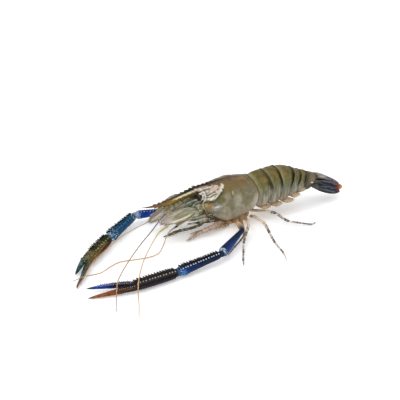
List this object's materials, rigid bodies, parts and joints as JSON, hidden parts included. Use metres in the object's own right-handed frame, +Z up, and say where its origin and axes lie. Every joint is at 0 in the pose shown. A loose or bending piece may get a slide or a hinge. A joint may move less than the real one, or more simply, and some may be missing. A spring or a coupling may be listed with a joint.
{
  "type": "raw shrimp",
  "caption": "Whole raw freshwater prawn with long blue claws, toothed rostrum, banded tail rings and fan, thin legs and long feelers, lying on its belly.",
  "frame": {"origin": "middle of the small flat spot under the thorax that the prawn rests on", "axes": "+X to the tail fan, -X to the head and claws, -Y to the animal's left side, +Z up"},
  "size_m": [0.2956, 0.1772, 0.0482],
  "materials": {
    "shell": "wet, glossy, mottled olive grey",
    "ring": "wet, glossy, khaki with dark bands",
    "belly": "moist, satin, tan",
    "fan": "wet, glossy, ribbed slate blue",
    "eye": "wet, glossy, near black",
    "scale": "moist, thin and translucent, greenish cream",
    "feeler": "satin, orange to pinkish brown",
    "leg": "moist, translucent grey tan with dark joints",
    "claw": "wet, glossy, deep blue with pale spines",
    "dark_claw": "wet, glossy, near black brown with pale spines",
    "olive_claw": "wet, glossy, olive brown with dark spines",
    "finger": "wet, glossy, blue grey with a dark tip"
  },
  "bodies": {
    "root": {"carapace": "shell", "thorax_underside": "belly", "abdomen_1": "ring", "abdomen_2": "ring", "abdomen_3": "ring", "abdomen_4": "ring", "abdomen_5": "ring", "abdomen_6": "ring", "telson": "fan", "uropod_left_outer": "fan", "uropod_right_outer": "fan", "uropod_left_inner": "fan", "uropod_right_inner": "fan", "swimmeret_left_1": "belly", "swimmeret_right_1": "belly", "swimmeret_left_2": "belly", "swimmeret_right_2": "belly", "swimmeret_left_3": "belly", "swimmeret_right_3": "belly", "swimmeret_left_4": "belly", "swimmeret_right_4": "belly", "swimmeret_left_5": "belly", "swimmeret_right_5": "belly", "eye_left": "eye", "eye_right": "eye", "antennule_left": "scale", "antennule_right": "scale", "antenna_base_left": "shell", "antenna_base_right": "shell", "antennal_scale_left": "scale", "antennal_scale_right": "scale", "antennule_flagellum_left": "feeler", "antennule_flagellum_right": "feeler", "antenna_left": "feeler", "antenna_right": "feeler", "maxilliped_left": "leg", "maxilliped_right": "leg", "first_leg_left": "leg", "first_leg_right": "leg", "walking_leg_left_1": "leg", "walking_leg_left_2": "leg", "walking_leg_left_3": "leg", "walking_leg_right_1": "leg", "walking_leg_right_2": "leg", "walking_leg_right_3": "leg", "claw_left_ischium": "belly", "claw_left_merus": "claw", "claw_left_carpus": "claw", "claw_left_palm": "dark_claw", "claw_left_finger": "claw", "claw_right_ischium": "belly", "claw_right_merus": "claw", "claw_right_carpus": "claw", "claw_right_palm": "olive_claw", "claw_right_finger": "finger"}
  },
  "joints": []
}
